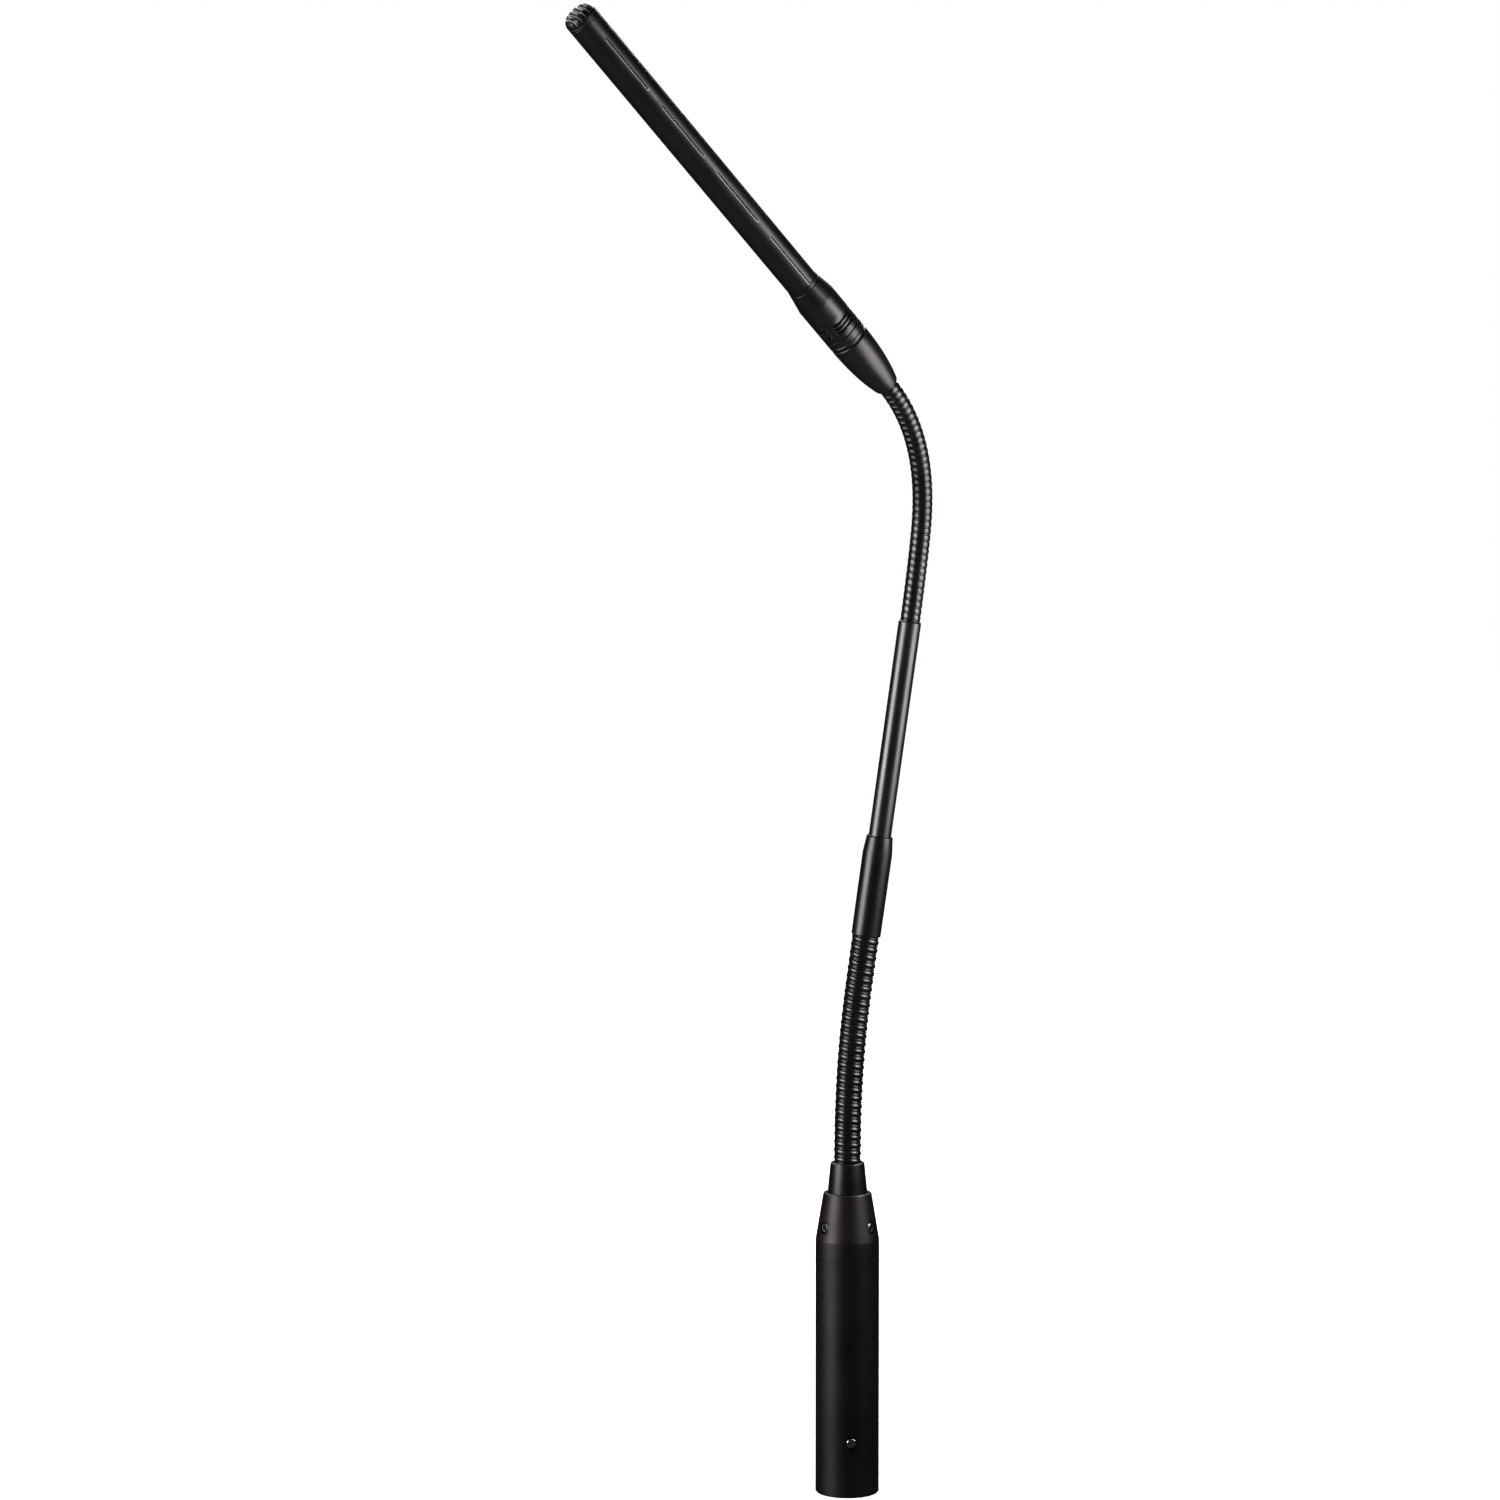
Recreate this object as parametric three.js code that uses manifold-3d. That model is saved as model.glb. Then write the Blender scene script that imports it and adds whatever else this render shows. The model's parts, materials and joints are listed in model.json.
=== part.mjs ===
// A gooseneck podium microphone with a shotgun head, in millimetres, +Z up.
// The origin is the centre of the connector's bottom rim; -Y is the side that the contact pins' screw faces.
// One centreline runs from the connector to the capsule. Both goosenecks are chains of short rigid
// stretches of it, hinged end to end, and the round pieces of the stem and the head are turned about it.
import * as THREE from "three";
import { mergeVertices } from "three/addons/utils/BufferGeometryUtils.js";
import Module from "manifold-3d";

// ---- driving dimensions ----
const FIT_GAP = 0.3; // clearance between one fitted piece and the next
const FACETS = 32; // facets round a turned piece
const HIDDEN_FACETS = 20; // facets round a turned piece inside another
const SMALL_FACETS = 12; // facets round a pin, a screw or a gooseneck

const BARREL_RADIUS = 9.5;
const BARREL_BORE = 8.2;
const BARREL_TOP = 69.6;
const SOCKET_DEPTH = 13.8; // from the rim to the face that carries the pins
const INSERT_THICKNESS = 6.7;
const PIN_CIRCLE_RADIUS = 4.05;
const PIN_RADIUS = 1.2;
const PIN_RECESS = 1.6; // the pins stop this far inside the rim
const PIN_TOP = 24.5;
const INSERT_SCREW_HEIGHT = 16.5;
const INSERT_SCREW_TURN = THREE.MathUtils.degToRad(6.6); // from -Y towards +X
const INSERT_SCREW_RADIUS = 1.45;
const INSERT_SCREW_FOOT = 6.2; // distance of its inner end from the connector's axis
const BOARD_BOTTOM = 27;
const BOARD_TOP = 62;

const CONE_FOOT = 75.9; // where the neck cone starts to narrow
const CONE_TOP = 89.5;
const CONE_TOP_RADIUS = 7.15;
const SPIGOT_LENGTH = 5.5; // of the cone inside the barrel
const NECK_SCREW_HEIGHT = 80;
const NECK_SCREW_TURNS = [-54, 54, 180].map(THREE.MathUtils.degToRad);
const NECK_SCREW_RADIUS = 1.6;
const FERRULE_FOOT = 73;
const FERRULE_TOP = 98;
const FERRULE_RADIUS = 5.95;

const LOWER_NECK_RADIUS = 4.1;
const LOWER_NECK_BORE = 2;
const UPPER_NECK_RADIUS = 2.95;
const UPPER_NECK_BORE = 1.55;
const LOWER_HINGES = 6;
const UPPER_HINGES = 8;
const HINGE_HALF_GAP = 0.6; // room on each side of a hinge for the stretches to tilt
const CABLE_RADIUS = 0.9;
const CABLE_HALF_GAP = 0.25;

const SLEEVE_LENGTH = 30;
const SLEEVE_RADIUS = 4.375;
const STEM_TOP = 94; // distance of the stem tube's top rim above the sleeve's foot
const STEM_RADIUS = 3.35;
const STEM_BORE = 2.6;

const HOUSING_RADIUS = 5.87;
const TUBE_RADIUS = 4.7;
const TUBE_BORE = 3.7;
const TUBE_SPIGOT = 4.25; // outer radius of the tube's end inside the capsule housing
const TUBE_FOOT = 35.5;
const REAR_HOUSING_LENGTH = 19.3;
const REAR_HOUSING_BORE = 4.6;
const LOCK_RING_BORE = 3.6;
const LOCK_RING_END = 22.9;
const FLARE_START = 35.3; // the capsule housing starts to narrow towards the tube
const HOUSING_END = 41;
const FLARE_END = 42.6;
const TUBE_END = 142.3;
const HEAD_LENGTH = 145.7;
const SLOT_FIRST = 42.2;
const SLOT_PITCH = 25.1;
const SLOT_LENGTH = 18.9;
const SLOT_WIDTH = 0.55;
const PORT_FIRST = 25.45;
const PORT_PITCH = 1.25;
const PORT_WIDTH = 0.6;
const PORT_ARC = THREE.MathUtils.degToRad(66);
const BOARD_FACE = 24.2; // front face of the contact board, behind the capsule
const CAPSULE_REAR = 28.6;
const CAPSULE_RADIUS = 4.1;
const CAP_GROOVE_PITCH = 1.6;
const CAP_GROOVE_WIDTH = 0.62;
const HEAD_ROLL = THREE.MathUtils.degToRad(-11.4); // turns the slot rows about the head's axis
const CAP_ROLL = THREE.MathUtils.degToRad(-8); // turns the cap's grooves past the slot rows

// ---- the resting bend ----
const UP = new THREE.Vector3(0, 0, 1);
const STEM_DIRECTION = new THREE.Vector3(0.136, -0.05, 1).normalize();
const HEAD_DIRECTION = new THREE.Vector3(-0.589, -0.472, 0.656).normalize();
const STEM_FOOT = new THREE.Vector3(5.3, -1.8, 166.7); // end of the lower gooseneck, foot of the sleeve
const UPPER_MIDDLE = new THREE.Vector3(21.1, -9.1, 287.9); // the upper gooseneck passes here...
const UPPER_MIDDLE_DIRECTION = new THREE.Vector3(0.07, -0.15, 1).normalize(); // ...in this direction
const HEAD_FOOT = new THREE.Vector3(10.4, -25, 327.7); // rear end of the head

// ---- solids ----
const wasm = await Module();
wasm.setup();

// A closed mesh as a manifold solid, and back.
function toSolid(geometry) {
  const bare = geometry.clone();
  bare.deleteAttribute("normal");
  bare.deleteAttribute("uv");
  const merged = mergeVertices(bare, 1e-4);
  return new wasm.Manifold(
    new wasm.Mesh({
      numProp: 3,
      vertProperties: merged.attributes.position.array,
      triVerts: new Uint32Array(merged.index.array),
    }),
  );
}

function toGeometry(solid) {
  const mesh = solid.getMesh();
  const geometry = new THREE.BufferGeometry();
  geometry.setAttribute("position", new THREE.BufferAttribute(mesh.vertProperties, 3));
  geometry.setIndex(new THREE.BufferAttribute(mesh.triVerts, 1));
  geometry.computeVertexNormals();
  return geometry;
}

function cut(geometry, tools) {
  return toGeometry(tools.reduce((solid, tool) => solid.subtract(toSolid(tool)), toSolid(geometry)));
}

function join(first, ...others) {
  return toGeometry(others.reduce((solid, other) => solid.add(toSolid(other)), toSolid(first)));
}

// A closed outline of [radius, height] pairs turned about the Z axis.
function turned(outline, facets = FACETS) {
  const points = outline.map(([radius, height]) => new THREE.Vector2(radius, height));
  if (THREE.ShapeUtils.isClockWise(points)) points.reverse();
  const offAxis = points.filter((point) => point.x > 0);
  const profile = offAxis.length === points.length ? [...points, points[0]] : points;
  return new THREE.LatheGeometry(profile, facets).rotateX(Math.PI / 2);
}

function ring(inner, outer, bottom, top, facets = HIDDEN_FACETS) {
  return turned([[inner, bottom], [outer, bottom], [outer, top], [inner, top]], facets);
}

function rod(radius, bottom, top, facets = SMALL_FACETS) {
  const geometry = new THREE.CylinderGeometry(radius, radius, top - bottom, facets);
  return geometry.rotateX(Math.PI / 2).translate(0, 0, (bottom + top) / 2);
}

function block(width, depth, height) {
  return new THREE.BoxGeometry(width, depth, height);
}

// Lays a piece made along +Z out along the radius at the given turn from -Y, at the given height.
function radially(geometry, turn, height) {
  return geometry.rotateX(Math.PI / 2).rotateZ(turn).translate(0, 0, height);
}

// ---- the centreline ----
function bend(from, fromDirection, fromReach, to, toDirection, toReach) {
  return new THREE.CubicBezierCurve3(
    from,
    from.clone().addScaledVector(fromDirection, fromReach),
    to.clone().addScaledVector(toDirection, -toReach),
    to,
  );
}

const cableStart = new THREE.Vector3(0, 0, BOARD_TOP + FIT_GAP);
const lowerNeckStart = new THREE.Vector3(0, 0, FERRULE_TOP);
const stemHead = STEM_FOOT.clone().addScaledVector(STEM_DIRECTION, STEM_TOP);
const capsuleEntry = HEAD_FOOT.clone().addScaledVector(HEAD_DIRECTION, LOCK_RING_END);
const centrelineParts = [
  new THREE.LineCurve3(cableStart, lowerNeckStart),
  bend(lowerNeckStart, UP, 32, STEM_FOOT, STEM_DIRECTION, 22),
  new THREE.LineCurve3(STEM_FOOT, stemHead),
  bend(stemHead, STEM_DIRECTION, 7.3, UPPER_MIDDLE, UPPER_MIDDLE_DIRECTION, 7.6),
  bend(UPPER_MIDDLE, UPPER_MIDDLE_DIRECTION, 9.7, HEAD_FOOT, HEAD_DIRECTION, 19.1),
  new THREE.LineCurve3(HEAD_FOOT, capsuleEntry),
];
const centreline = new THREE.CurvePath();
centrelineParts.forEach((part) => centreline.add(part));
const centrelineLengths = centreline.getCurveLengths();
const [LOWER_START, LOWER_END, UPPER_START, , UPPER_END, CABLE_END] = centrelineLengths;

// The part of the centreline between two distances along it.
class Stretch extends THREE.Curve {
  constructor(from, to) {
    super();
    this.from = from;
    this.to = to;
  }

  getPoint(t, target = new THREE.Vector3()) {
    const distance = this.from + (this.to - this.from) * t;
    return target.copy(centreline.getPoint(distance / CABLE_END));
  }
}

function sweep(radius, from, to, steps, sides, bore = 0) {
  const section = new THREE.Shape();
  section.absarc(0, 0, radius, 0, 2 * Math.PI);
  if (bore) section.holes.push(new THREE.Path().absarc(0, 0, bore, 0, 2 * Math.PI));
  const options = { steps, curveSegments: sides / 2, extrudePath: new Stretch(from, to) };
  return new THREE.ExtrudeGeometry(section, options);
}

// The hinges stand at equal distances along a gooseneck, turned in turn about two axes square to the line:
// "bend" nods the part above forward, and "side" swings it across.
function hingesOf(neck, from, to, count, bendAxisGuide) {
  const spacing = (to - from) / count;
  return Array.from({ length: count }, (_, i) => {
    const distance = from + spacing * (i + 0.5);
    const along = new Stretch(distance - 0.5, distance + 0.5).getTangent(0.5);
    const sideAxis = along.clone().cross(bendAxisGuide).normalize();
    const bendAxis = sideAxis.clone().cross(along).normalize();
    const motion = i % 2 ? "side" : "bend";
    const name = `${neck}_${motion}_${Math.floor(i / 2) + 1}`;
    const pivot = centreline.getPoint(distance / CABLE_END);
    return { name, distance, pivot, axis: i % 2 ? sideAxis : bendAxis };
  });
}

const bendGuide = STEM_DIRECTION.clone().cross(HEAD_DIRECTION).normalize();
const lowerHinges = hingesOf("lower", LOWER_START, LOWER_END, LOWER_HINGES, bendGuide);
const upperHinges = hingesOf("upper", UPPER_START, UPPER_END, UPPER_HINGES, bendGuide);
export const hinges = [...lowerHinges, ...upperHinges];

// ---- materials ----
function material(color, roughness, metalness) {
  return new THREE.MeshStandardMaterial({ color, roughness, metalness });
}

const finish = {
  barrel: material(0x2a2625, 0.6, 0.4),
  head: material(0x3a3635, 0.45, 0.6),
  stem: material(0x2c2a2a, 0.3, 0.7),
  neck: material(0x242222, 0.35, 0.7),
  steel: material(0xb8b8b8, 0.3, 1),
  darkSteel: material(0x202020, 0.4, 0.9),
  contact: material(0xc9c4b4, 0.25, 1),
  insulator: material(0x1c1c1e, 0.6, 0),
  board: material(0x1f4a2c, 0.6, 0),
  cable: material(0x202022, 0.6, 0),
  cloth: material(0x141414, 0.95, 0),
};

const microphone = new THREE.Group();

function piece(name, geometry, look, parent = microphone) {
  const mesh = new THREE.Mesh(geometry, look);
  mesh.name = name;
  parent.add(mesh);
  return mesh;
}

// ---- connector: shell, insulated insert, pins ----
function connectorShell() {
  const shell = turned([
    [BARREL_BORE + 0.3, 0],
    [BARREL_RADIUS - 0.4, 0],
    [BARREL_RADIUS, 0.4],
    [BARREL_RADIUS, BARREL_TOP - 0.2],
    [BARREL_RADIUS - 0.2, BARREL_TOP],
    [BARREL_BORE, BARREL_TOP],
    [BARREL_BORE, 0.3],
  ]);
  const keyway = block(2.2, 1.2, 11).translate(0, BARREL_BORE + 0.1, 5);
  const latchRecess = block(4, 1.6, 3.2).translate(0, 0.1 - BARREL_BORE, 7.4);
  return cut(shell, [keyway, latchRecess, insertScrewHole()]);
}

const pinPlaces = [[-PIN_CIRCLE_RADIUS, 0], [PIN_CIRCLE_RADIUS, 0], [0, -PIN_CIRCLE_RADIUS]];

function insertScrewHole() {
  const hole = rod(INSERT_SCREW_RADIUS + FIT_GAP, INSERT_SCREW_FOOT - FIT_GAP, BARREL_RADIUS + 1);
  return radially(hole, INSERT_SCREW_TURN, INSERT_SCREW_HEIGHT);
}

function connectorInsert() {
  const radius = BARREL_BORE - FIT_GAP;
  const top = SOCKET_DEPTH + INSERT_THICKNESS;
  const disc = turned([[0, SOCKET_DEPTH], [radius, SOCKET_DEPTH], [radius, top], [0, top]]);
  const pinHoles = pinPlaces.map(([x, y]) =>
    rod(PIN_RADIUS + FIT_GAP, PIN_RECESS, PIN_TOP).translate(x, y, 0),
  );
  return cut(disc, [...pinHoles, insertScrewHole()]);
}

// A pin with a rounded nose below and a solder cup above.
function contactPin() {
  const cupRadius = PIN_RADIUS - 0.4;
  const cupFloor = PIN_TOP - 2;
  return turned(
    [
      [0, PIN_RECESS],
      [PIN_RADIUS - 0.5, PIN_RECESS + 0.15],
      [PIN_RADIUS, PIN_RECESS + 0.9],
      [PIN_RADIUS, PIN_TOP],
      [cupRadius, PIN_TOP],
      [cupRadius, cupFloor],
      [0, cupFloor],
    ],
    SMALL_FACETS,
  );
}

function insertScrew() {
  const radius = INSERT_SCREW_RADIUS;
  const face = BARREL_RADIUS - 0.15;
  const slot = block(2 * radius + 1, 0.45, 1.2).translate(0, 0, face);
  const blank = turned([
    [0, INSERT_SCREW_FOOT],
    [radius, INSERT_SCREW_FOOT + FIT_GAP],
    [radius, face - 0.15],
    [radius - 0.15, face],
    [0, face],
  ]);
  return radially(cut(blank, [slot]), INSERT_SCREW_TURN, INSERT_SCREW_HEIGHT);
}

// A bent strip that stands on the insert and presses on the barrel's wall.
function groundSpring() {
  const width = 2.6;
  const thickness = 0.4;
  const footHeight = SOCKET_DEPTH + INSERT_THICKNESS + FIT_GAP + thickness;
  const leafHeight = 6;
  const leafPlace = BARREL_BORE - 0.9;
  const leafMiddle = footHeight + (leafHeight - thickness) / 2;
  const leaf = block(width, thickness, leafHeight).translate(0, leafPlace, leafMiddle);
  const foot = block(width, 3, thickness).translate(0, leafPlace - 1.3, footHeight);
  return join(leaf, foot);
}

piece("connector_barrel", connectorShell(), finish.barrel);
piece("xlr_insert", connectorInsert(), finish.insulator);
pinPlaces.forEach(([x, y], i) => {
  piece(`contact_pin_${i + 1}`, contactPin(), finish.contact).position.set(x, y, 0);
});
piece("insert_screw", insertScrew(), finish.steel);
piece("ground_spring", groundSpring(), finish.contact);

// ---- preamplifier in the barrel ----
const boardWidth = 13;
const boardThickness = 1.2;
const boardHeight = BOARD_TOP - BOARD_BOTTOM;
const board = block(boardWidth, boardThickness, boardHeight).translate(0, 0, BOARD_BOTTOM + boardHeight / 2);

const transformerSize = 9;
const transformerDepth = 5;
const componentPlace = boardThickness / 2 + FIT_GAP + transformerDepth / 2; // in front of the board
const transformer = block(transformerSize, transformerDepth, transformerSize)
  .translate(0, componentPlace, 36);

const capacitorRadius = 2.4;
const capacitorBottom = 43;
const capacitorTop = 54;
const capacitor = turned(
  [
    [0, capacitorBottom],
    [capacitorRadius - 0.2, capacitorBottom],
    [capacitorRadius, capacitorBottom + 0.3],
    [capacitorRadius, capacitorTop - 0.3],
    [capacitorRadius - 0.2, capacitorTop],
    [0, capacitorTop],
  ],
  SMALL_FACETS,
).translate(0, componentPlace, 0);

piece("preamp_board", board, finish.board);
piece("output_transformer", transformer, finish.steel);
piece("coupling_capacitor", capacitor, finish.insulator);

// ---- neck cone with its three set screws, and the ferrule it clamps ----
function neckCone() {
  const spigot = BARREL_BORE - FIT_GAP;
  const spigotFoot = BARREL_TOP - SPIGOT_LENGTH;
  const shoulder = BARREL_TOP + FIT_GAP;
  const bore = FERRULE_RADIUS + FIT_GAP;
  const blank = turned([
    [bore, spigotFoot],
    [spigot, spigotFoot],
    [spigot, shoulder],
    [BARREL_RADIUS - 0.2, shoulder],
    [BARREL_RADIUS, shoulder + 0.2],
    [BARREL_RADIUS, CONE_FOOT],
    [CONE_TOP_RADIUS + 0.14, CONE_TOP - 0.8],
    [CONE_TOP_RADIUS - 0.15, CONE_TOP - 0.2],
    [CONE_TOP_RADIUS - 0.6, CONE_TOP],
    [bore, CONE_TOP],
  ]);
  const hole = () => rod(NECK_SCREW_RADIUS + FIT_GAP, bore - 1, BARREL_RADIUS + 1);
  return cut(blank, NECK_SCREW_TURNS.map((turn) => radially(hole(), turn, NECK_SCREW_HEIGHT)));
}

// A set screw with a hexagonal socket, just below the cone's surface.
function neckScrew() {
  const innerEnd = FERRULE_RADIUS + FIT_GAP;
  const outerEnd = 8.5;
  const socketRadius = 0.85;
  const socketDepth = 1.2;
  const socket = rod(socketRadius, outerEnd - socketDepth, outerEnd + 1, 6);
  return cut(rod(NECK_SCREW_RADIUS, innerEnd, outerEnd), [socket]);
}

function neckFerrule() {
  const bore = LOWER_NECK_RADIUS + FIT_GAP;
  return turned([
    [bore, FERRULE_FOOT],
    [FERRULE_RADIUS, FERRULE_FOOT],
    [FERRULE_RADIUS, CONE_TOP - 0.2],
    [5.1, FERRULE_TOP - 0.8],
    [4.95, FERRULE_TOP - 0.2],
    [4.7, FERRULE_TOP],
    [bore, FERRULE_TOP],
  ]);
}

piece("neck_cone", neckCone(), finish.barrel);
NECK_SCREW_TURNS.forEach((turn, i) => {
  piece(`neck_screw_${i + 1}`, radially(neckScrew(), turn, NECK_SCREW_HEIGHT), finish.darkSteel);
});
piece("neck_ferrule", neckFerrule(), finish.barrel);

// ---- the two goosenecks, as rigid stretches between hinges ----
// A plug is the turned-down end by which a gooseneck sits inside the stem.
function neckStretch(neck, from, to, plug) {
  if (!plug) return sweep(neck.radius, from, to, 2, SMALL_FACETS, neck.bore);
  const whole = join(
    sweep(neck.radius, from, to, 2, SMALL_FACETS),
    sweep(plug.radius, plug.from, plug.to, 2, SMALL_FACETS),
  );
  const bore = sweep(neck.bore, Math.min(from, plug.from) - 1, Math.max(to, plug.to) + 1, 3, SMALL_FACETS);
  return cut(whole, [bore]);
}

function gooseneck(neck) {
  const ends = neck.hinges.map((hinge) => hinge.distance);
  const starts = [neck.start, ...ends.map((distance) => distance + HINGE_HALF_GAP)];
  const stops = [...ends.map((distance) => distance - HINGE_HALF_GAP), neck.end];
  starts.forEach((from, i) => {
    piece(`${neck.name}_${i + 1}`, neckStretch(neck, from, stops[i], neck.plugs[i]), finish.neck);
  });
}

gooseneck({
  name: "lower_neck",
  radius: LOWER_NECK_RADIUS,
  bore: LOWER_NECK_BORE,
  start: LOWER_START - 8,
  end: LOWER_END - FIT_GAP,
  hinges: lowerHinges,
  plugs: { [LOWER_HINGES]: { radius: 3.2, from: LOWER_END - 1, to: LOWER_END + 5 } },
});
gooseneck({
  name: "upper_neck",
  radius: UPPER_NECK_RADIUS,
  bore: UPPER_NECK_BORE,
  start: UPPER_START + FIT_GAP,
  end: UPPER_END + 8,
  hinges: upperHinges,
  plugs: { 0: { radius: STEM_BORE - FIT_GAP, from: UPPER_START - 6, to: UPPER_START + 1 } },
});

// ---- the signal cable, one stretch in each rigid body ----
const cableHinges = hinges.map((hinge) => hinge.distance);
const cableStarts = [0, ...cableHinges.map((distance) => distance + CABLE_HALF_GAP)];
const cableStops = [...cableHinges.map((distance) => distance - CABLE_HALF_GAP), CABLE_END];
cableStarts.forEach((from, i) => {
  const steps = Math.max(2, Math.round((cableStops[i] - from) / 12));
  piece(`signal_cable_${i + 1}`, sweep(CABLE_RADIUS, from, cableStops[i], steps, 8), finish.cable);
});

// ---- stem: sleeve and tube ----
const stem = new THREE.Group();
stem.position.copy(STEM_FOOT);
stem.quaternion.setFromUnitVectors(UP, STEM_DIRECTION);
microphone.add(stem);

const sleeveBore = STEM_RADIUS + FIT_GAP;
const sleeve = turned([
  [sleeveBore, 0],
  [SLEEVE_RADIUS - 0.2, 0],
  [SLEEVE_RADIUS, 0.2],
  [SLEEVE_RADIUS + 0.03, SLEEVE_LENGTH - 5.1],
  [STEM_RADIUS + 0.6, SLEEVE_LENGTH - 0.2],
  [STEM_RADIUS + 0.45, SLEEVE_LENGTH],
  [sleeveBore, SLEEVE_LENGTH],
]);
piece("coupling_sleeve", sleeve, finish.stem, stem);
const stemTube = turned([
  [STEM_BORE, 6],
  [STEM_RADIUS, 6],
  [STEM_RADIUS, STEM_TOP - 0.25],
  [STEM_RADIUS - 0.25, STEM_TOP],
  [STEM_BORE, STEM_TOP],
]);
piece("stem_tube", stemTube, finish.stem, stem);

// ---- head, turned about its own axis: heights are distances from its rear end ----
const head = new THREE.Group();
head.position.copy(HEAD_FOOT);
const level = UP.clone().cross(HEAD_DIRECTION).normalize();
const headBasis = new THREE.Matrix4().makeBasis(level, HEAD_DIRECTION.clone().cross(level), HEAD_DIRECTION);
head.quaternion.setFromRotationMatrix(headBasis);
head.rotateZ(HEAD_ROLL);
microphone.add(head);

function rearHousing() {
  const halfLength = 24.2; // of the ellipse that the rear end is a part of
  const outside = Array.from({ length: 9 }, (_, i) => {
    const height = 0.35 + ((REAR_HOUSING_LENGTH - 0.35) * i) / 8;
    const share = (REAR_HOUSING_LENGTH - height) / halfLength;
    return [HOUSING_RADIUS * Math.sqrt(1 - share * share), height];
  });
  const mouth = UPPER_NECK_RADIUS + FIT_GAP;
  return turned([
    [mouth, 0.1],
    [mouth + 0.1, 0],
    ...outside,
    [REAR_HOUSING_BORE, REAR_HOUSING_LENGTH],
    [REAR_HOUSING_BORE, 12.5],
    [mouth + 0.7, 8],
    [mouth, 8],
  ]);
}

// A ring whose rear edge is turned down, so that a groove shows between it and the rear housing.
function lockRing() {
  const foot = REAR_HOUSING_LENGTH + FIT_GAP;
  const grooveRadius = HOUSING_RADIUS - 0.35;
  return turned([
    [LOCK_RING_BORE, foot],
    [grooveRadius, foot],
    [grooveRadius, foot + 0.3],
    [HOUSING_RADIUS, foot + 0.5],
    [HOUSING_RADIUS, LOCK_RING_END - 0.1],
    [HOUSING_RADIUS - 0.1, LOCK_RING_END],
    [LOCK_RING_BORE, LOCK_RING_END],
  ]);
}

// Three slots beside each other in each quarter of the housing, cut as sectors of thin discs.
function portCutters() {
  const reach = HOUSING_RADIUS + 1;
  const extrusion = { depth: PORT_WIDTH, bevelEnabled: false, curveSegments: 6 };
  const cutters = [];
  for (let quarter = 0; quarter < 4; quarter++) {
    const sector = new THREE.Shape();
    const arcStart = (quarter * Math.PI) / 2 - PORT_ARC / 2;
    sector.lineTo(reach * Math.cos(arcStart), reach * Math.sin(arcStart));
    sector.absarc(0, 0, reach, arcStart, arcStart + PORT_ARC);
    for (let i = 0; i < 3; i++) {
      const slice = new THREE.ExtrudeGeometry(sector, extrusion);
      cutters.push(slice.translate(0, 0, PORT_FIRST + i * PORT_PITCH - PORT_WIDTH / 2));
    }
  }
  return cutters;
}

function flareRadius(height) {
  return THREE.MathUtils.mapLinear(height, FLARE_START, FLARE_END, HOUSING_RADIUS, TUBE_RADIUS);
}

function capsuleHousing() {
  const foot = LOCK_RING_END + FIT_GAP;
  const capsuleBore = 4.9;
  const tubeBore = TUBE_SPIGOT + FIT_GAP;
  const step = TUBE_FOOT - 1; // the bore narrows here from the capsule to the tube's spigot
  const blank = turned([
    [capsuleBore, foot],
    [HOUSING_RADIUS, foot],
    [HOUSING_RADIUS, FLARE_START],
    [flareRadius(HOUSING_END), HOUSING_END],
    [tubeBore, HOUSING_END],
    [tubeBore, step],
    [capsuleBore, step],
  ]);
  return cut(blank, portCutters());
}

function interferenceTube() {
  const shoulder = HOUSING_END + FIT_GAP;
  const blank = turned([
    [TUBE_BORE, TUBE_FOOT],
    [TUBE_SPIGOT, TUBE_FOOT],
    [TUBE_SPIGOT, shoulder],
    [flareRadius(shoulder), shoulder],
    [TUBE_RADIUS, FLARE_END],
    [TUBE_RADIUS, TUBE_END - 0.1],
    [TUBE_RADIUS - 0.1, TUBE_END],
    [TUBE_BORE, TUBE_END],
  ]);
  const slots = [0, 1, 2, 3].map((i) => {
    const middle = SLOT_FIRST + SLOT_LENGTH / 2 + i * SLOT_PITCH;
    return block(4 * TUBE_RADIUS, SLOT_WIDTH, SLOT_LENGTH).translate(0, 0, middle);
  });
  return cut(blank, slots);
}

// A domed plug with parallel grooves across its front, which open into a cavity behind them.
function frontCap() {
  const foot = TUBE_END + FIT_GAP;
  const spigot = TUBE_BORE - FIT_GAP;
  const spigotFoot = foot - 4.6;
  const cavity = 2.7;
  const cavityEnd = HEAD_LENGTH - 1.5;
  const grooveFloor = cavityEnd - 0.4; // the grooves are cut down into the cavity
  const grooveHeight = 4;
  const blank = turned([
    [0, cavityEnd],
    [cavity, cavityEnd],
    [cavity, spigotFoot],
    [spigot, spigotFoot],
    [spigot, foot],
    [TUBE_RADIUS, foot],
    [TUBE_RADIUS, foot + 1],
    [TUBE_RADIUS - 0.35, foot + 1.8],
    [TUBE_RADIUS - 1.15, HEAD_LENGTH - 0.5],
    [TUBE_RADIUS - 2.4, HEAD_LENGTH - 0.1],
    [0, HEAD_LENGTH],
  ]);
  const grooves = [-2, -1, 0, 1, 2].map((step) =>
    block(4 * TUBE_RADIUS, CAP_GROOVE_WIDTH, grooveHeight)
      .translate(0, step * CAP_GROOVE_PITCH, grooveFloor + grooveHeight / 2)
      .rotateZ(CAP_ROLL),
  );
  return cut(blank, grooves);
}

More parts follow.
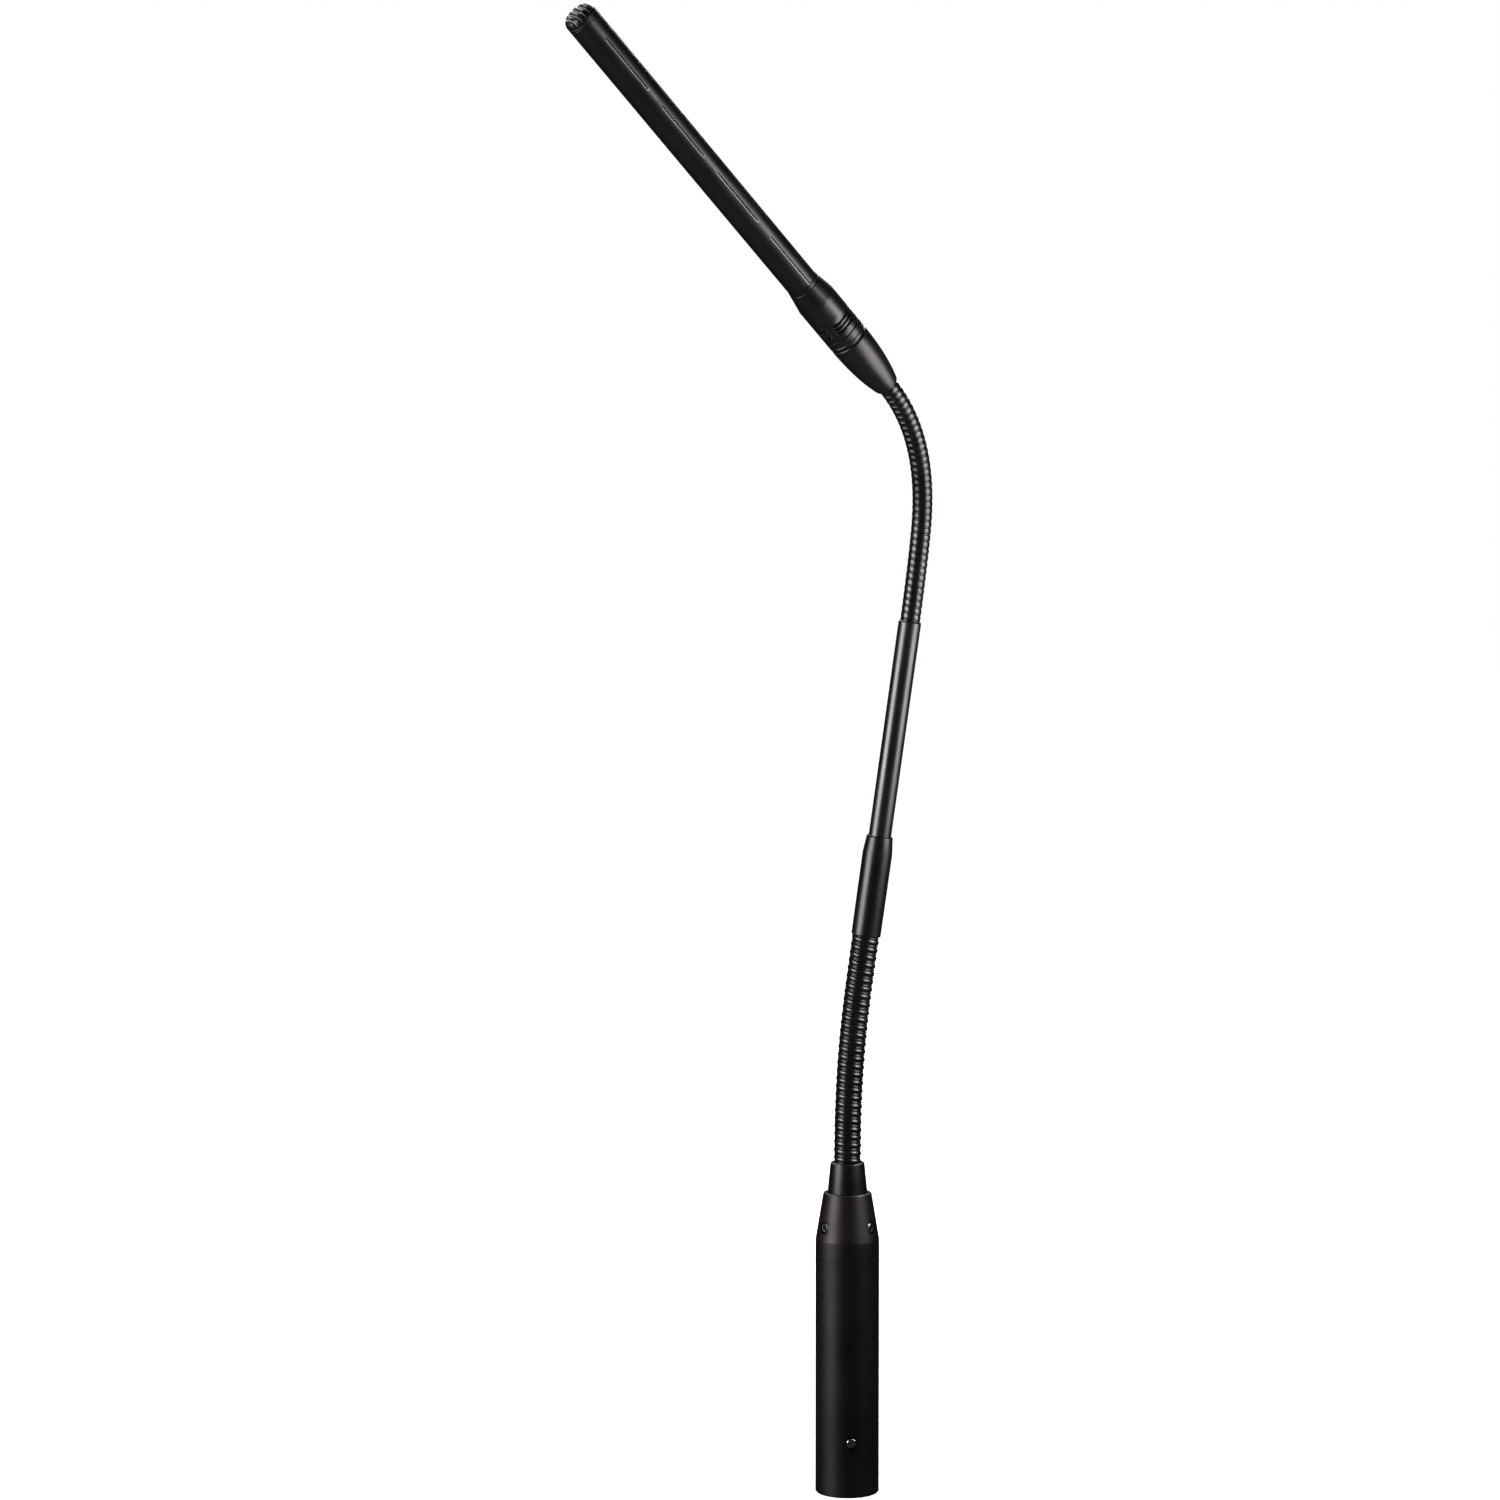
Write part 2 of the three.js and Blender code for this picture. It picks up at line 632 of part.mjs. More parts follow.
// A coil spring between the contact board and the capsule's rear contact.
function contactSpring() {
  const coilRadius = 1.5;
  const wireRadius = 0.2;
  const turns = 2.5;
  const foot = BOARD_FACE + FIT_GAP + wireRadius;
  const length = CAPSULE_REAR - FIT_GAP - wireRadius - foot;
  class Helix extends THREE.Curve {
    getPoint(t, target = new THREE.Vector3()) {
      const angle = 2 * Math.PI * turns * t;
      return target.set(coilRadius * Math.cos(angle), coilRadius * Math.sin(angle), foot + length * t);
    }
  }
  const wire = new THREE.Shape();
  wire.absarc(0, 0, wireRadius, 0, 2 * Math.PI);
  return new THREE.ExtrudeGeometry(wire, { steps: 40, curveSegments: 3, extrudePath: new Helix() });
}

function capsule() {
  const edge = 0.2;
  const front = CAPSULE_REAR + 5.6;
  return turned(
    [
      [0, CAPSULE_REAR],
      [CAPSULE_RADIUS - edge, CAPSULE_REAR],
      [CAPSULE_RADIUS, CAPSULE_REAR + edge],
      [CAPSULE_RADIUS, front - edge],
      [CAPSULE_RADIUS - edge, front],
      [0, front],
    ],
    HIDDEN_FACETS,
  );
}

const boardFoot = LOCK_RING_END + 2 * FIT_GAP;
const screenFoot = BOARD_FACE + FIT_GAP;
piece("rear_housing", rearHousing(), finish.head, head);
piece("neck_bush", ring(1.6, 4.3, 12.9, 16.5), finish.contact, head);
piece("lock_ring", lockRing(), finish.head, head);
piece("capsule_housing", capsuleHousing(), finish.head, head);
piece("contact_board", ring(0, 4.6, boardFoot, BOARD_FACE), finish.board, head);
piece("contact_spring", contactSpring(), finish.contact, head);
piece("port_screen", ring(4.4, 4.6, screenFoot, screenFoot + 4.4), finish.cloth, head);
piece("capsule", capsule(), finish.steel, head);
piece("interference_tube", interferenceTube(), finish.head, head);
piece("tube_liner", ring(3.2, TUBE_BORE - FIT_GAP, 37, 137.5), finish.cloth, head);
piece("front_cap", frontCap(), finish.head, head);
piece("front_screen", ring(0.3, 2.4, 142.9, 143.3), finish.cloth, head);

export default microphone;
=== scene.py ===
import json
import math

import bmesh
import bpy
from mathutils import Matrix, Vector


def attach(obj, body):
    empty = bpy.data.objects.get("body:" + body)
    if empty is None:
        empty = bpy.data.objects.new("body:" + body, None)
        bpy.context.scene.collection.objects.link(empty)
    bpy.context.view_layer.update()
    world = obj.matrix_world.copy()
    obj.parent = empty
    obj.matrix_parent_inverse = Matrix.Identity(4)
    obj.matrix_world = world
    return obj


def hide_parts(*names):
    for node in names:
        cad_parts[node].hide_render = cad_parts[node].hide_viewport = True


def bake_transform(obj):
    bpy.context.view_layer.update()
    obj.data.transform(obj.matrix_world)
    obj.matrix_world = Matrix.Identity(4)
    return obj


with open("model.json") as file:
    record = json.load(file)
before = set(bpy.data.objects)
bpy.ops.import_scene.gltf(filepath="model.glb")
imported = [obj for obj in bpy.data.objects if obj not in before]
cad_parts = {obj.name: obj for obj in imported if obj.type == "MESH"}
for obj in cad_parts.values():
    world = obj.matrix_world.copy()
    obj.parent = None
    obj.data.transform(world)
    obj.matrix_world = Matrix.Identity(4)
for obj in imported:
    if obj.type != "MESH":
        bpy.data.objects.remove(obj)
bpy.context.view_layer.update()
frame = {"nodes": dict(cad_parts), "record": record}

MM = 0.001

# ---- dimensions ----
BARREL_RADIUS = 9.5
BARREL_BORE = 8.2
BARREL_TOP = 70.5
JOINT_EDGE = 0.12  # keeps the edges where the barrel and the cone meet nearly sharp
SOCKET_DEPTH = 13.8
INSERT_THICKNESS = 6.7
PIN_CIRCLE_RADIUS = 4.05
PIN_RADIUS = 1.2
PIN_TOP = 24.5
PIN_CUP = 0.8  # radius of the solder cup in a pin's inner end
INSERT_SCREW_HEIGHT = 16.5
INSERT_SCREW_TURN = math.radians(6.6)
INSERT_SCREW_RADIUS = 1.45
CONE_FOOT = 75.9
CONE_TOP = 89.95
CONE_TOP_RADIUS = 7.15
NECK_SCREW_HEIGHT = 80
NECK_SCREW_RADIUS = 1.62
NECK_SCREW_TURNS = [math.radians(turn) for turn in (-54, 54, 180)]
LOWER_NECK_FOOT = 98
LOWER_NECK_RADIUS = 4.1
LOWER_NECK_PITCH = 2.36
UPPER_NECK_RADIUS = 2.95
UPPER_NECK_PITCH = 1.98
FERRULE_TOP = 98.9
SLEEVE_LENGTH = 30
SLEEVE_RADIUS = 4.375
STEM_TOP = 94
STEM_RADIUS = 3.35
STEM_BORE = 2.6
HOUSING_RADIUS = 5.87
TUBE_RADIUS = 4.7
TUBE_BORE = 3.9
REAR_HOUSING_END = 19.45
LOCK_RING_END = 23.02
FLARE_START = 35.3
HOUSING_END = 41.08
FLARE_END = 42.6
TUBE_END = 142.42
HEAD_LENGTH = 145.7
SEAM = 0.12  # width of the line between two fitted pieces
SLOT_FIRST = 42.2
SLOT_PITCH = 25.1
SLOT_LENGTH = 18.9
SLOT_WIDTH = 0.4
SLOT_LIP = 0.24  # width of the lighter metal band along one side of a slot: a painted highlight
PORT_FIRST = 25.45
PORT_PITCH = 1.25
PORT_ARC = math.radians(66)
PORT_WIDTH = 0.6
CAP_GROOVE_PITCH = 1.6
CAP_GROOVE_WIDTH = 0.62
CAP_ROLL = math.radians(-8)

UP = Vector((0, 0, 1))
STEM_DIRECTION = Vector((0.136, -0.05, 1)).normalized()
HEAD_DIRECTION = Vector((-0.589, -0.472, 0.656)).normalized()
STEM_FOOT = Vector((5.3, -1.8, 166.7))
STEM_HEAD = STEM_FOOT + STEM_DIRECTION * STEM_TOP
UPPER_MIDDLE = Vector((21.1, -9.1, 287.9))
UPPER_MIDDLE_DIRECTION = Vector((0.07, -0.15, 1)).normalized()
HEAD_FOOT = Vector((10.4, -25, 327.7))
HEAD_ROLL = math.radians(-11.4)

# ---- camera ----
camera = bpy.data.objects.new("camera", bpy.data.cameras.new("camera"))
camera.data.lens = 85.3
camera.data.sensor_width = 36
camera.data.clip_start = 0.01
camera.location = (-0.029, -1.05, 0.2735)
camera.rotation_euler = (math.radians(90 - 2.83), 0, 0)
bpy.context.scene.collection.objects.link(camera)
bpy.context.scene.camera = camera


# ---- materials ----
def node_tools(material):
    """Short ways to add and link the nodes of one material."""
    tree = material.node_tree

    def add(kind, **values):
        node = tree.nodes.new(kind)
        for name, value in values.items():
            node.inputs[name.replace("_", " ")].default_value = value
        return node

    return add, tree.links.new, tree.nodes["Principled BSDF"]


def noise(add, link, coordinates, scale, detail):
    texture = add("ShaderNodeTexNoise", Scale=scale, Detail=detail)
    link(coordinates, texture.inputs["Vector"])
    return texture.outputs["Fac"]


def spread(add, link, source, low, high):
    """Maps the middle of a texture's values to the range low..high."""
    remap = add("ShaderNodeMapRange", From_Min=0.3, From_Max=0.7, To_Min=low, To_Max=high)
    link(source, remap.inputs["Value"])
    return remap.outputs["Result"]


def mixed(add, link, share, first, second):
    """Blends from the first colour to the second over the middle of a texture's values."""
    ramp = add("ShaderNodeValToRGB")
    ramp.color_ramp.elements[0].position = 0.3
    ramp.color_ramp.elements[0].color = (*first, 1)
    ramp.color_ramp.elements[1].position = 0.7
    ramp.color_ramp.elements[1].color = (*second, 1)
    link(share, ramp.inputs["Fac"])
    return ramp.outputs["Color"]


def finish(name, light, dark, roughness, metallic, grain=3500, grain_depth=0.00001, coat=0.0, specular=0.5):
    """A satin or gloss surface: mottled colour, an uneven sheen and a fine grain."""
    material = bpy.data.materials.new(name)
    material.use_nodes = True
    add, link, shader = node_tools(material)
    place = add("ShaderNodeTexCoord").outputs["Object"]
    mottle = noise(add, link, place, 180, 5)
    link(mixed(add, link, mottle, dark, light), shader.inputs["Base Color"])
    smudge = noise(add, link, place, 60, 4)
    link(spread(add, link, smudge, roughness - 0.05, roughness + 0.05), shader.inputs["Roughness"])
    fine = noise(add, link, place, grain, 2)
    bump = add("ShaderNodeBump", Strength=0.35, Distance=grain_depth)
    link(fine, bump.inputs["Height"])
    link(bump.outputs["Normal"], shader.inputs["Normal"])
    shader.inputs["Metallic"].default_value = metallic
    shader.inputs["Coat Weight"].default_value = coat
    shader.inputs["Specular IOR Level"].default_value = specular
    return material


def cloth(name, thread, gap):
    """A fine woven screen: two crossed bands of thread."""
    material = bpy.data.materials.new(name)
    material.use_nodes = True
    add, link, shader = node_tools(material)
    place = add("ShaderNodeTexCoord").outputs["Object"]
    bands = []
    for direction in ("X", "Z"):
        wave = add("ShaderNodeTexWave", Scale=1500, Distortion=0.4)
        wave.bands_direction = direction
        link(place, wave.inputs["Vector"])
        bands.append(wave.outputs["Fac"])
    weave = add("ShaderNodeMath")
    weave.operation = "MULTIPLY"
    link(bands[0], weave.inputs[0])
    link(bands[1], weave.inputs[1])
    link(mixed(add, link, weave.outputs["Value"], gap, thread), shader.inputs["Base Color"])
    bump = add("ShaderNodeBump", Strength=0.6, Distance=0.00005)
    link(weave.outputs["Value"], bump.inputs["Height"])
    link(bump.outputs["Normal"], shader.inputs["Normal"])
    shader.inputs["Roughness"].default_value = 0.9
    return material


LOOKS = {
    "barrel_paint": finish(
        "barrel_paint", (0.039, 0.0335, 0.033), (0.032, 0.028, 0.0275), 0.42, 0.95,
        grain=2600, grain_depth=0.00003, specular=0.3,
    ),
    "ferrule_paint": finish("ferrule_paint", (0.040, 0.0375, 0.0368), (0.034, 0.032, 0.0315), 0.33, 0.95),
    "head_paint": finish("head_paint", (0.062, 0.058, 0.057), (0.054, 0.050, 0.049), 0.36, 0.95),
    "stem_paint": finish("stem_paint", (0.084, 0.080, 0.078), (0.074, 0.071, 0.069), 0.31, 0.95),
    "sleeve_paint": finish("sleeve_paint", (0.054, 0.051, 0.050), (0.048, 0.046, 0.045), 0.33, 0.95),
    "neck_finish": finish("neck_finish", (0.078, 0.074, 0.072), (0.058, 0.056, 0.054), 0.27, 0.95),
    # Lighter metal, put only where edges and rims should shine: a painted highlight.
    "painted_highlight_metal": finish("painted_highlight_metal", (0.23, 0.223, 0.216), (0.18, 0.175, 0.17), 0.36, 1.0),
    "bright_steel": finish("bright_steel", (0.55, 0.54, 0.53), (0.42, 0.41, 0.40), 0.28, 1.0),
    "black_steel": finish("black_steel", (0.38, 0.37, 0.36), (0.28, 0.275, 0.27), 0.27, 1.0),
    "groove_metal": finish("groove_metal", (0.50, 0.485, 0.475), (0.40, 0.39, 0.38), 0.45, 0.3),
    "contact_metal": finish("contact_metal", (0.72, 0.68, 0.58), (0.60, 0.56, 0.47), 0.22, 1.0),
    "insulator": finish("insulator", (0.016, 0.016, 0.018), (0.011, 0.011, 0.012), 0.5, 0.0),
    "circuit_board": finish("circuit_board", (0.02, 0.10, 0.04), (0.012, 0.07, 0.028), 0.4, 0.0, coat=0.3),
    "cable_jacket": finish("cable_jacket", (0.018, 0.018, 0.02), (0.012, 0.012, 0.013), 0.6, 0.0),
    "acoustic_cloth": cloth("acoustic_cloth", (0.02, 0.02, 0.02), (0.004, 0.004, 0.004)),
}

slot_of_node = {part["node"]: part["material_slot"] for part in frame["record"]["subparts"]}
for node, obj in frame["nodes"].items():
    obj.data.materials.clear()
    obj.data.materials.append(LOOKS[slot_of_node[node]])


# ---- places ----
def stem_place():
    return Matrix.Translation(STEM_FOOT) @ UP.rotation_difference(STEM_DIRECTION).to_matrix().to_4x4()


def head_place():
    level = UP.cross(HEAD_DIRECTION).normalized()
    basis = Matrix((level, HEAD_DIRECTION.cross(level), HEAD_DIRECTION)).transposed().to_4x4()
    return Matrix.Translation(HEAD_FOOT) @ basis @ Matrix.Rotation(HEAD_ROLL, 4, "Z")


def radial_place(turn, height):
    """Lays a piece made along +Z out along the radius, at a turn from -Y towards +X."""
    outward = Matrix.Rotation(turn, 4, "Z") @ Matrix.Rotation(math.pi / 2, 4, "X")
    return Matrix.Translation((0, 0, height)) @ outward


BASE = Matrix.Identity(4)
STEM = stem_place()
HEAD = head_place()


# ---- meshes ----
def mesh_of(name, points, faces, place=BASE):
    mesh = bpy.data.meshes.new(name)
    mesh.from_pydata([(place @ Vector(point)) * MM for point in points], [], faces)
    mesh.validate()
    shell = bmesh.new()
    shell.from_mesh(mesh)
    bmesh.ops.recalc_face_normals(shell, faces=shell.faces)
    shell.to_mesh(mesh)
    shell.free()
    mesh.shade_smooth()
    return mesh


def filleted(outline, radius, closed, steps=4):
    """The outline with each corner rounded, by less than half of the shorter side that meets there."""
    rounded = []
    count = len(outline)
    for i, corner in enumerate(outline):
        if not closed and i in (0, count - 1):
            rounded.append(corner)
            continue
        here = Vector(corner)
        before = Vector(outline[i - 1]) - here
        after = Vector(outline[(i + 1) % count]) - here
        turn = math.pi - before.angle(after)
        reach = min(radius * math.tan(turn / 2), before.length * 0.45, after.length * 0.45)
        if turn < math.radians(8) or radius == 0:
            rounded.append(corner)
            continue
        start = here + before.normalized() * reach
        stop = here + after.normalized() * reach
        for step in range(steps + 1):
            t = step / steps
            rounded.append(tuple((1 - t) ** 2 * start + 2 * t * (1 - t) * here + t * t * stop))
    return rounded


def turned(name, outline, place=BASE, fillet=0.12, facets=128):
    """An outline of (radius, height) pairs turned about Z, which closes on itself or starts and ends on the
    axis."""
    closed = all(radius > 0 for radius, _ in outline)
    profile = filleted(outline, fillet, closed)
    points = []
    rings = []
    for radius, height in profile:
        if radius < 1e-6:
            rings.append([len(points)] * facets)
            points.append((0, 0, height))
            continue
        rings.append(range(len(points), len(points) + facets))
        for k in range(facets):
            angle = 2 * math.pi * k / facets
            points.append((radius * math.cos(angle), radius * math.sin(angle), height))
    faces = []
    pairs = list(zip(rings, rings[1:]))
    if closed:
        pairs.append((rings[-1], rings[0]))
    for lower, upper in pairs:
        for k in range(facets):
            following = (k + 1) % facets
            corners = [lower[k], lower[following], upper[following], upper[k]]
            faces.append(list(dict.fromkeys(corners)))
    return mesh_of(name, points, faces, place)


def block(width, depth, height, centre):
    x, y, z = centre
    points = []
    for side_x in (-width / 2, width / 2):
        for side_y in (-depth / 2, depth / 2):
            points += [(x + side_x, y + side_y, z + side_z) for side_z in (-height / 2, height / 2)]
    faces = [(0, 1, 3, 2), (4, 6, 7, 5), (0, 4, 5, 1), (2, 3, 7, 6), (0, 2, 6, 4), (1, 5, 7, 3)]
    return points, faces


def prism(sides, radius, bottom, top):
    points = []
    for height in (bottom, top):
        for k in range(sides):
            angle = 2 * math.pi * (k + 0.5) / sides
            points.append((radius * math.cos(angle), radius * math.sin(angle), height))
    faces = [list(range(sides)), list(range(sides, 2 * sides))]
    faces += [[k, (k + 1) % sides, sides + (k + 1) % sides, sides + k] for k in range(sides)]
    return points, faces


def settle(obj):
    """Applies the object's modifiers to its mesh."""
    evaluated = obj.evaluated_get(bpy.context.evaluated_depsgraph_get())
    mesh = bpy.data.meshes.new_from_object(evaluated)
    obj.modifiers.clear()
    obj.data = mesh


def with_object(mesh):
    obj = bpy.data.objects.new(mesh.name, mesh)
    bpy.context.scene.collection.objects.link(obj)
    return obj


def carve(obj, cutters, place=BASE, bevel=0.08, edge_material=-1):
    """Cuts closed (points, faces) shapes out of a piece, and breaks the new sharp edges."""
    tools = []
    for points, faces in cutters:
        tool = with_object(mesh_of("cutter", points, faces, place))
        cut = obj.modifiers.new("cut", "BOOLEAN")
        cut.object = tool
        cut.solver = "EXACT"
        tools.append(tool)
    soften(obj, bevel, edge_material=edge_material)
    settle(obj)
    for tool in tools:
        bpy.data.objects.remove(tool)


def soften(obj, width, limit=40, edge_material=-1):
    """Breaks the edges that turn by more than the limit in degrees."""
    bevel = obj.modifiers.new("bevel", "BEVEL")
    bevel.width = width * MM
    bevel.segments = 2
    bevel.limit_method = "ANGLE"
    bevel.angle_limit = math.radians(limit)
    bevel.use_clamp_overlap = True
    bevel.material = edge_material


def bevel_with_painted_highlight(obj, slot, width):
    """Breaks the sharp edges of a painted piece and gives the bevels a lighter metal colour: a painted
    highlight along the edges.
    """
    obj.data.materials.append(LOOKS[slot])
    obj.data.materials.append(LOOKS["painted_highlight_metal"])
    soften(obj, width, 50, edge_material=1)


def paint_rim_highlight(obj, slot, top):
    """Gives the lighter metal colour to the upward-facing outer part of the rounded edge of an upright
    piece's top: a painted highlight where the light from above falls.
    """
    rim_depth = 0.6
    obj.data.materials.append(LOOKS[slot])
    obj.data.materials.append(LOOKS["painted_highlight_metal"])
    for face in obj.data.polygons:
        outward = face.normal.x * face.center.x + face.normal.y * face.center.y > 0
        if outward and 0.35 < face.normal.z < 0.97 and face.center.z > (top - rim_depth) * MM:
            face.material_index = 1


def present(obj, body, slot, *nodes):
    """Gives a finished piece its even normals, its body and its finish, and hides the nodes that it stands
    for.
    """
    weighted = obj.modifiers.new("normals", "WEIGHTED_NORMAL")
    weighted.mode = "FACE_AREA"
    settle(obj)
    if not obj.data.materials:
        obj.data.materials.append(LOOKS[slot])
    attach(obj, body)
    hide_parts(*nodes)


def pierced_shell(name, angles, stations, outer, inner, is_hole, is_painted_highlight, shift, place):
    """A tube from a grid of angles and stations along it. Cells where is_hole is true are left open and
    walled, and shift moves a grid point, so that the ends of the openings are round. Cells picked by the
    highlight test get the second material, a lighter metal colour that paints a highlight."""
    columns, rows = len(angles), len(stations)
    points = []
    for radius_at in (outer, inner):
        for station in stations:
            for angle in angles:
                turn, height = shift(angle, station)
                radius = radius_at(height)
                points.append((radius * math.cos(turn), radius * math.sin(turn), height))

    def corner(layer, row, column):
        return layer * columns * rows + row * columns + column % columns

    def middle(row, column):
        left, right = angles[column % columns], angles[(column + 1) % columns]
        if right < left:
            right += 2 * math.pi
        return (left + right) / 2, (stations[row] + stations[row + 1]) / 2

    def solid(row, column):
        return 0 <= row < rows - 1 and not is_hole(*middle(row, column))

    wall = ((0, 0), (0, 1), (1, 1), (1, 0))
    faces = []
    painted_highlight_faces = []
    for row in range(rows):
        for column in range(columns):
            here = solid(row, column)
            if here and is_painted_highlight(*middle(row, column)):
                painted_highlight_faces.append(len(faces))
            if here:
                for layer in (0, 1):
                    faces.append([
                        corner(layer, row, column),
                        corner(layer, row, column + 1),
                        corner(layer, row + 1, column + 1),
                        corner(layer, row + 1, column),
                    ])
            if here != solid(row - 1, column):
                faces.append([corner(layer, row, column + side) for layer, side in wall])
            if row < rows - 1 and here != solid(row, column - 1):
                faces.append([corner(layer, row + side, column) for layer, side in wall])
    mesh = mesh_of(name, points, faces, place)
    for face in painted_highlight_faces:
        mesh.polygons[face].material_index = 1
    return mesh


# ---- connector ----
def barrel():
    rings = (12, 20)  # extra rings of points below and above the insert's screw
    screw_hole = prism(48, INSERT_SCREW_RADIUS + 0.33, 7, 11)
    keyway = block(2.2, 1.2, 11, (0, BARREL_BORE + 0.1, 5))
    latch_recess = block(4, 1.6, 3.2, (0, 0.1 - BARREL_BORE, 7.4))
    outline = [(8.55, 0), (9.15, 0), (BARREL_RADIUS, 0.35)]
    outline += [(BARREL_RADIUS, height) for height in (*rings, BARREL_TOP - JOINT_EDGE, BARREL_TOP)]
    outline += [(BARREL_BORE, height) for height in (BARREL_TOP, *reversed(rings), 0.35)]
    obj = with_object(turned("barrel", outline))
    carve(obj, [screw_hole], radial_place(INSERT_SCREW_TURN, INSERT_SCREW_HEIGHT))
    carve(obj, [keyway, latch_recess])
    present(obj, "base", "barrel_paint", "connector_barrel")


def insert():
    top = SOCKET_DEPTH + INSERT_THICKNESS
    radius = BARREL_BORE - 0.1
    obj = with_object(turned("insert", [
        (0, SOCKET_DEPTH), (radius, SOCKET_DEPTH), (radius, top), (0, top),
    ]))
    pin_holes = []
    for x, y in PIN_PLACES:
        points, faces = prism(32, PIN_RADIUS + 0.12, 10, 25)
        pin_holes.append(([(px + x, py + y, pz) for px, py, pz in points], faces))
    carve(obj, pin_holes, bevel=0.15)
    screw_hole = prism(32, INSERT_SCREW_RADIUS + 0.15, 5.9, 11)
    carve(obj, [screw_hole], radial_place(INSERT_SCREW_TURN, INSERT_SCREW_HEIGHT))
    present(obj, "base", "insulator", "xlr_insert")


def pin(number, x, y):
    obj = with_object(turned(f"pin_{number}", [
        (0, 1.6), (0.75, 1.62), (PIN_RADIUS, 2.3), (PIN_RADIUS, PIN_TOP),
        (PIN_CUP, PIN_TOP), (PIN_CUP, PIN_TOP - 2), (0, PIN_TOP - 2),
    ], Matrix.Translation((x, y, 0)), fillet=0.4, facets=48))
    present(obj, "base", "contact_metal", f"contact_pin_{number}")


def insert_screw():
    place = radial_place(INSERT_SCREW_TURN, INSERT_SCREW_HEIGHT)
    face = BARREL_RADIUS - 0.12
    radius = INSERT_SCREW_RADIUS
    obj = with_object(turned("insert_screw", [
        (0, 6.2), (radius - 0.25, 6.2), (radius, 6.6), (radius, face - 0.25), (radius - 0.25, face - 0.05),
        (0, face),
    ], place, fillet=0.2, facets=64))
    carve(obj, [block(4, 0.42, 1.2, (0, 0, face))], place, bevel=0.04)
    present(obj, "base", "bright_steel", "insert_screw")


PIN_PLACES = [(-PIN_CIRCLE_RADIUS, 0), (PIN_CIRCLE_RADIUS, 0), (0, -PIN_CIRCLE_RADIUS)]
barrel()
insert()
for number, (x, y) in enumerate(PIN_PLACES, 1):
    pin(number, x, y)
insert_screw()


# ---- neck cone, its set screws and the ferrule ----
def neck_cone():
    foot = BARREL_TOP + 0.04
    rings = (77.4, 82.6)  # extra rings of points below and above the screws
    bore, spigot = 6.1, 7.9
    slope = (CONE_TOP_RADIUS - BARREL_RADIUS) / (CONE_TOP - CONE_FOOT)
    outline = [(bore, foot - 5), (spigot, foot - 5), (spigot, foot)]
    outline += [(BARREL_RADIUS, foot), (BARREL_RADIUS, foot + JOINT_EDGE)]
    outline += [(BARREL_RADIUS + slope * (height - CONE_FOOT), height) for height in (CONE_FOOT, *rings)]
    outline.append((CONE_TOP_RADIUS, CONE_TOP))
    outline += [(bore, height) for height in (CONE_TOP, CONE_TOP - 1, *reversed(rings))]
    obj = with_object(turned("neck_cone", outline, fillet=0.5))
    screw_hole = prism(48, NECK_SCREW_RADIUS + 0.22, 5, 11)
    for turn in NECK_SCREW_TURNS:
        carve(obj, [screw_hole], radial_place(turn, NECK_SCREW_HEIGHT))
    # The rim gets a painted highlight in lighter metal.
    paint_rim_highlight(obj, "barrel_paint", CONE_TOP)
    present(obj, "base", "barrel_paint", "neck_cone")


def neck_screw(number, turn):
    place = radial_place(turn, NECK_SCREW_HEIGHT)
    face = 8.55
    obj = with_object(turned(f"neck_screw_{number}", [
        (0, 6.4), (NECK_SCREW_RADIUS, 6.4), (NECK_SCREW_RADIUS, face - 0.35), (1.25, face), (0, face),
    ], place, fillet=0.08, facets=64))
    carve(obj, [prism(6, 0.85, face - 1.3, face + 1)], place, bevel=0.04)
    present(obj, "base", "black_steel", f"neck_screw_{number}")


def ferrule():
    bore = 4.25
    obj = with_object(turned("ferrule", [
        (bore, 73), (5.95, 73), (5.98, CONE_TOP - 0.4), (5.05, FERRULE_TOP), (bore, FERRULE_TOP),
    ], fillet=0.45))
    # The rim gets a painted highlight in lighter metal.
    paint_rim_highlight(obj, "ferrule_paint", FERRULE_TOP)
    present(obj, "base", "barrel_paint", "neck_ferrule")


neck_cone()
for number, turn in enumerate(NECK_SCREW_TURNS, 1):
    neck_screw(number, turn)
ferrule()


# ---- centreline of the necks ----
def bezier(start, start_direction, start_reach, end, end_direction, end_reach, steps=160):
    first = start + start_direction * start_reach
    second = end - end_direction * end_reach
    for step in range(steps):
        t = step / steps
        s = 1 - t
        yield s**3 * start + 3 * s * s * t * first + 3 * s * t * t * second + t**3 * end


class Route:
    """A centreline with distances along it and frames that don't twist."""

    def __init__(self, points):
        self.points = points
        self.distances = [0.0]
        for before, after in zip(points, points[1:]):
            self.distances.append(self.distances[-1] + (after - before).length)
        tangents = [(b - a).normalized() for a, b in zip(points, points[1:])]
        tangents.append(tangents[-1])
        normal = tangents[0].orthogonal().normalized()
        self.frames = []
        for tangent in tangents:
            normal = (normal - tangent * normal.dot(tangent)).normalized()
            self.frames.append((normal, tangent.cross(normal)))

    def at(self, distance):
        low, high = 0, len(self.distances) - 1
        while high - low > 1:
            middle = (low + high) // 2
            if self.distances[middle] <= distance:
                low = middle
            else:
                high = middle
        share = (distance - self.distances[low]) / (self.distances[high] - self.distances[low])
        centre = self.points[low].lerp(self.points[high], share)
        normal = self.frames[low][0].lerp(self.frames[high][0], share)
        across = self.frames[low][1].lerp(self.frames[high][1], share)
        return centre, normal, across


# ---- goosenecks ----
TURN_STEPS = 40
NECK_LEAD = 10  # straight start and end of a neck's route, in its fittings


